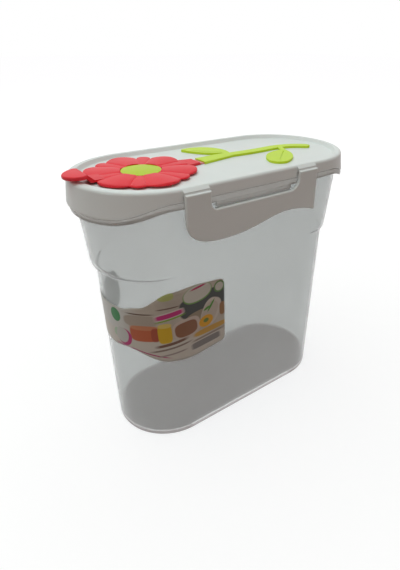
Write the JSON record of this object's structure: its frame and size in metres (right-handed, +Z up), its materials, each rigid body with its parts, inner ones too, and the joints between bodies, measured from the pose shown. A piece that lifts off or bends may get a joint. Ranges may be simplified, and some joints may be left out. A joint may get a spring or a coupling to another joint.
{
  "type": "food storage container",
  "caption": "Tall stadium-shaped translucent keeper for dry food, with a clip-down white lid, a flower-shaped pour flap and a raised stem-and-leaf decoration.",
  "frame": {"origin": "on the surface that the container stands on, below the middle of the object's outline", "axes": "+X along the container from the pour end to the plain end, +Y towards the rear clip, +Z up"},
  "size_m": [0.1992, 0.0988, 0.1881],
  "materials": {
    "frosted_plastic": "translucent frosted polypropylene with a soft sheen",
    "white_plastic": "satin white moulding",
    "coral_plastic": "satin coral red moulding",
    "lime_plastic": "satin lime green moulding",
    "label_film": null
  },
  "bodies": {
    "container_body": {"container": "frosted_plastic", "label": "label_film"},
    "lid_body": {"lid": "white_plastic", "stem_and_leaves": "lime_plastic", "flap_anchor": "coral_plastic"},
    "front_clip_body": {"front_clip": "white_plastic", "front_left_film_hinge": "white_plastic", "front_right_film_hinge": "white_plastic"},
    "rear_clip_body": {"rear_clip": "white_plastic", "rear_left_film_hinge": "white_plastic", "rear_right_film_hinge": "white_plastic"},
    "flap_body": {"flower_flap": "coral_plastic", "flower_centre": "lime_plastic", "flap_film_hinge": "coral_plastic"}
  },
  "joints": [
    {"name": "lid_lift", "type": "slide", "parent": "container_body", "child": "lid_body", "axis": [0, 0, 1], "range_m": [0, 0.12]},
    {"name": "front_clip_swing", "type": "hinge", "parent": "lid_body", "child": "front_clip_body", "pos_m": [-0.00479, -0.04759, 0.1813], "axis": [-1, 0, 0], "range_deg": [0, 110]},
    {"name": "rear_clip_swing", "type": "hinge", "parent": "lid_body", "child": "rear_clip_body", "pos_m": [-0.00479, 0.04759, 0.1813], "axis": [1, 0, 0], "range_deg": [0, 110]},
    {"name": "flap_lift", "type": "hinge", "parent": "lid_body", "child": "flap_body", "pos_m": [-0.01369, 0.002, 0.182], "axis": [0, 1, 0], "range_deg": [0, 110]}
  ]
}
